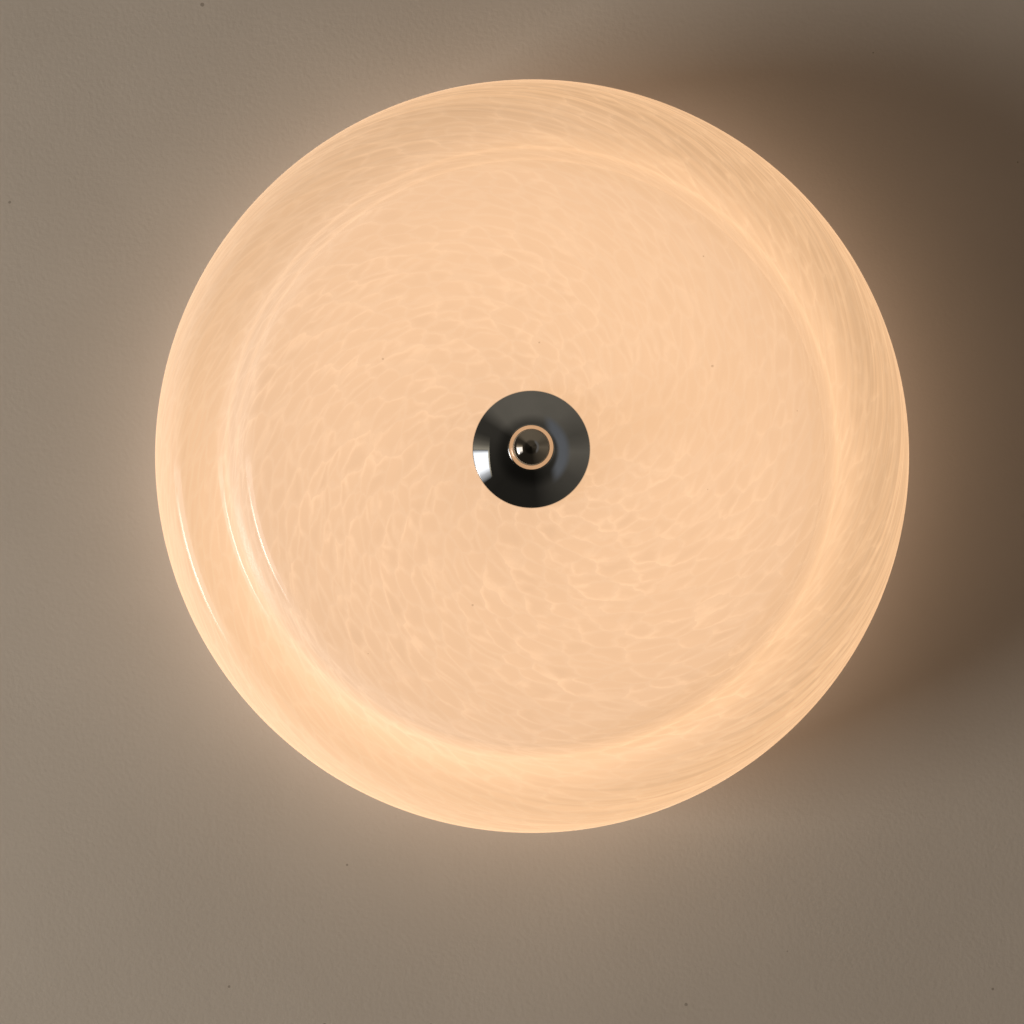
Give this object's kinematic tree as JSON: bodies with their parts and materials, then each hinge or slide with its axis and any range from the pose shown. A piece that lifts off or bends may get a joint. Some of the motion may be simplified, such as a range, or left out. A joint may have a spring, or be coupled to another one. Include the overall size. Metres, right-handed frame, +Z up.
{
  "type": "ceiling light",
  "caption": "Flush ceiling light: a stepped round dish of swirled opal glass under a steel pan, held by a domed chrome cap and a chrome ball nut, lit from inside by bulbs on a spider.",
  "frame": {"origin": "middle of the pan's ceiling face, between the two screw slots", "axes": "+Z up into the ceiling, +X along the line of the screw slots, +Y towards the terminal block"},
  "size_m": [0.4, 0.4, 0.1266],
  "materials": {
    "opal_glass": "blown opal glass with a fine swirl, glossy outside",
    "chrome": "polished",
    "painted_pan": "white enamel",
    "zinc_steel": "zinc plated",
    "brass": "plain brass",
    "bulb_metal": "nickel plated",
    "bulb_glass": "opal",
    "seal_black": "dark vitrite",
    "porcelain": "white glaze",
    "rubber": "soft black rubber",
    "bush_nylon": "moulded",
    "block_nylon": "moulded, slightly translucent",
    "clip_nylon": "moulded",
    "lead_brown": "sleeved wire",
    "lead_blue": "sleeved wire",
    "lead_green_yellow": "sleeved wire"
  },
  "bodies": {
    "base": {"block_screws": "zinc_steel", "ceiling_pan": "painted_pan", "centre_contact_1": "brass", "centre_contact_2": "brass", "centre_contact_3": "brass", "clamp_screws": "zinc_steel", "clip_screws": "zinc_steel", "earth_lead": "lead_green_yellow", "earth_screw": "zinc_steel", "earth_tag": "brass", "hanging_tube": "zinc_steel", "holder_screws": "zinc_steel", "holder_spider": "zinc_steel", "holder_terminals": "brass", "lampholder_1": "porcelain", "lampholder_2": "porcelain", "lampholder_3": "porcelain", "lead_clips": "clip_nylon", "lead_grommet": "rubber", "live_leads": "lead_brown", "neutral_leads": "lead_blue", "pole_screws": "zinc_steel", "screw_shell_1": "brass", "screw_shell_2": "brass", "screw_shell_3": "brass", "support_nut": "zinc_steel", "terminal_block": "block_nylon", "tube_bottom_nut": "zinc_steel", "tube_bottom_washer": "zinc_steel", "tube_top_nut": "zinc_steel", "tube_top_washer": "zinc_steel"},
    "shade": {"glass_shade": "opal_glass", "hole_bush": "bush_nylon", "plate_gasket": "rubber", "support_plate": "zinc_steel", "cap_gasket": "rubber"},
    "cap": {"shade_cap": "chrome"},
    "finial": {"finial_ball": "chrome"},
    "bulb_1": {"bulb_globe_1": "bulb_glass", "bulb_base_1": "bulb_metal", "bulb_seal_1": "seal_black"},
    "bulb_2": {"bulb_globe_2": "bulb_glass", "bulb_base_2": "bulb_metal", "bulb_seal_2": "seal_black"},
    "bulb_3": {"bulb_globe_3": "bulb_glass", "bulb_base_3": "bulb_metal", "bulb_seal_3": "seal_black"}
  },
  "joints": [
    {"name": "shade_lower", "type": "slide", "parent": "base", "child": "shade", "axis": [0, 0, -1], "range_m": [0, 0.13]},
    {"name": "cap_run", "type": "slide", "parent": "shade", "child": "cap", "axis": [0, 0, -1], "range_m": [0, 0.009]},
    {"name": "finial_turn", "type": "hinge", "parent": "cap", "child": "finial", "pos_m": [0, 0, -0.115], "axis": [0, 0, -1], "range_deg": [0, 3240]},
    {"name": "bulb_1_out", "type": "slide", "parent": "base", "child": "bulb_1", "axis": [0, 1, 0], "range_m": [0, 0.022]},
    {"name": "bulb_2_out", "type": "slide", "parent": "base", "child": "bulb_2", "axis": [-0.866, -0.5, 0], "range_m": [0, 0.022]},
    {"name": "bulb_3_out", "type": "slide", "parent": "base", "child": "bulb_3", "axis": [0.866, -0.5, 0], "range_m": [0, 0.022]}
  ],
  "couplings": [
    {"joint": "finial_turn", "follows": "cap_run", "rad_per_m": 6283.2}
  ]
}
